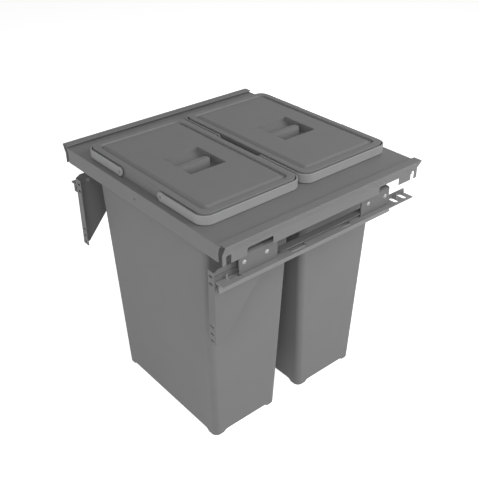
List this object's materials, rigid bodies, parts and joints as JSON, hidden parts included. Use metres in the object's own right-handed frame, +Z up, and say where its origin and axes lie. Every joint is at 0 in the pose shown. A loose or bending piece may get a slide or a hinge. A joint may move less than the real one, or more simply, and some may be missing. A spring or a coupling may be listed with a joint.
{
  "type": "pull-out waste bin unit",
  "caption": "Pull-out waste unit for a base cabinet: steel tray on ball runners with door brackets, lidded tapered bins and swinging bail handles.",
  "frame": {"origin": "on the ground plane under the bins' feet, in the middle of the overall width and depth", "axes": "+X to the right as seen from the door side, +Y to the rear of the cabinet (the tray pulls out along -Y), +Z up"},
  "size_m": [0.5598, 0.519, 0.5807],
  "materials": {
    "tray_steel": "satin powder coat",
    "rail_steel": "satin powder coat",
    "bright_steel": "bright zinc",
    "bin_plastic": "fine matte moulding",
    "lid_plastic": "fine matte moulding",
    "handle_plastic": "fine matte moulding"
  },
  "bodies": {
    "cabinet_side": {"cabinet_rail_left": "rail_steel", "cabinet_rail_right": "rail_steel", "rail_pins": "bright_steel"},
    "outer_cage_left": {"outer_ball_cage_left": "bright_steel", "outer_balls_left": "bright_steel"},
    "outer_cage_right": {"outer_ball_cage_right": "bright_steel", "outer_balls_right": "bright_steel"},
    "middle_left": {"middle_rail_left": "rail_steel"},
    "middle_right": {"middle_rail_right": "rail_steel"},
    "inner_cage_left": {"inner_ball_cage_left": "bright_steel", "inner_balls_left": "bright_steel"},
    "inner_cage_right": {"inner_ball_cage_right": "bright_steel", "inner_balls_right": "bright_steel"},
    "drawer": {"drawer_rail_left": "rail_steel", "drawer_rail_right": "rail_steel", "front_hanger_left": "tray_steel", "front_hanger_right": "tray_steel", "rear_hanger_left": "tray_steel", "rear_hanger_right": "tray_steel", "hanger_rivets": "bright_steel", "door_bracket_left": "tray_steel", "door_bracket_right": "tray_steel", "bracket_rivets": "bright_steel", "tray_frame": "tray_steel", "side_profile_left": "tray_steel", "side_profile_right": "tray_steel"},
    "front_bin": {"bin_front": "bin_plastic"},
    "rear_bin": {"bin_rear": "bin_plastic"},
    "front_lid": {"lid_front": "lid_plastic"},
    "rear_lid": {"lid_rear": "lid_plastic"},
    "front_bail_left": {"handle_front_left": "handle_plastic"},
    "front_bail_right": {"handle_front_right": "handle_plastic"},
    "rear_bail_left": {"handle_rear_left": "handle_plastic"},
    "rear_bail_right": {"handle_rear_right": "handle_plastic"}
  },
  "joints": [
    {"name": "drawer_slide", "type": "slide", "parent": "cabinet_side", "child": "drawer", "axis": [0, -1, 0], "range_m": [0, 0.46]},
    {"name": "middle_slide_left", "type": "slide", "parent": "cabinet_side", "child": "middle_left", "axis": [0, -1, 0], "range_m": [0, 0.23]},
    {"name": "middle_slide_right", "type": "slide", "parent": "cabinet_side", "child": "middle_right", "axis": [0, -1, 0], "range_m": [0, 0.23]},
    {"name": "outer_cage_slide_left", "type": "slide", "parent": "cabinet_side", "child": "outer_cage_left", "axis": [0, -1, 0], "range_m": [0, 0.115]},
    {"name": "outer_cage_slide_right", "type": "slide", "parent": "cabinet_side", "child": "outer_cage_right", "axis": [0, -1, 0], "range_m": [0, 0.115]},
    {"name": "inner_cage_slide_left", "type": "slide", "parent": "cabinet_side", "child": "inner_cage_left", "axis": [0, -1, 0], "range_m": [0, 0.345]},
    {"name": "inner_cage_slide_right", "type": "slide", "parent": "cabinet_side", "child": "inner_cage_right", "axis": [0, -1, 0], "range_m": [0, 0.345]},
    {"name": "front_bin_lift", "type": "slide", "parent": "drawer", "child": "front_bin", "axis": [0, 0, 1], "range_m": [0, 0.56]},
    {"name": "rear_bin_lift", "type": "slide", "parent": "drawer", "child": "rear_bin", "axis": [0, 0, 1], "range_m": [0, 0.56]},
    {"name": "front_lid_lift", "type": "slide", "parent": "front_bin", "child": "front_lid", "axis": [0, 0, 1], "range_m": [0, 0.1]},
    {"name": "rear_lid_lift", "type": "slide", "parent": "rear_bin", "child": "rear_lid", "axis": [0, 0, 1], "range_m": [0, 0.1]},
    {"name": "front_bail_left_swing", "type": "hinge", "parent": "front_bin", "child": "front_bail_left", "pos_m": [-0.071, -0.12435, 0.56835], "axis": [0, 1, 0], "range_deg": [0, 90]},
    {"name": "front_bail_right_swing", "type": "hinge", "parent": "front_bin", "child": "front_bail_right", "pos_m": [0.071, -0.12435, 0.56835], "axis": [0, -1, 0], "range_deg": [0, 90]},
    {"name": "rear_bail_left_swing", "type": "hinge", "parent": "rear_bin", "child": "rear_bail_left", "pos_m": [-0.071, 0.12435, 0.56835], "axis": [0, 1, 0], "range_deg": [0, 90]},
    {"name": "rear_bail_right_swing", "type": "hinge", "parent": "rear_bin", "child": "rear_bail_right", "pos_m": [0.071, 0.12435, 0.56835], "axis": [0, -1, 0], "range_deg": [0, 90]}
  ],
  "couplings": [
    {"joint": "middle_slide_left", "follows": "drawer_slide", "ratio": 0.5},
    {"joint": "middle_slide_right", "follows": "drawer_slide", "ratio": 0.5},
    {"joint": "outer_cage_slide_left", "follows": "drawer_slide", "ratio": 0.25},
    {"joint": "outer_cage_slide_right", "follows": "drawer_slide", "ratio": 0.25},
    {"joint": "inner_cage_slide_left", "follows": "drawer_slide", "ratio": 0.75},
    {"joint": "inner_cage_slide_right", "follows": "drawer_slide", "ratio": 0.75}
  ]
}
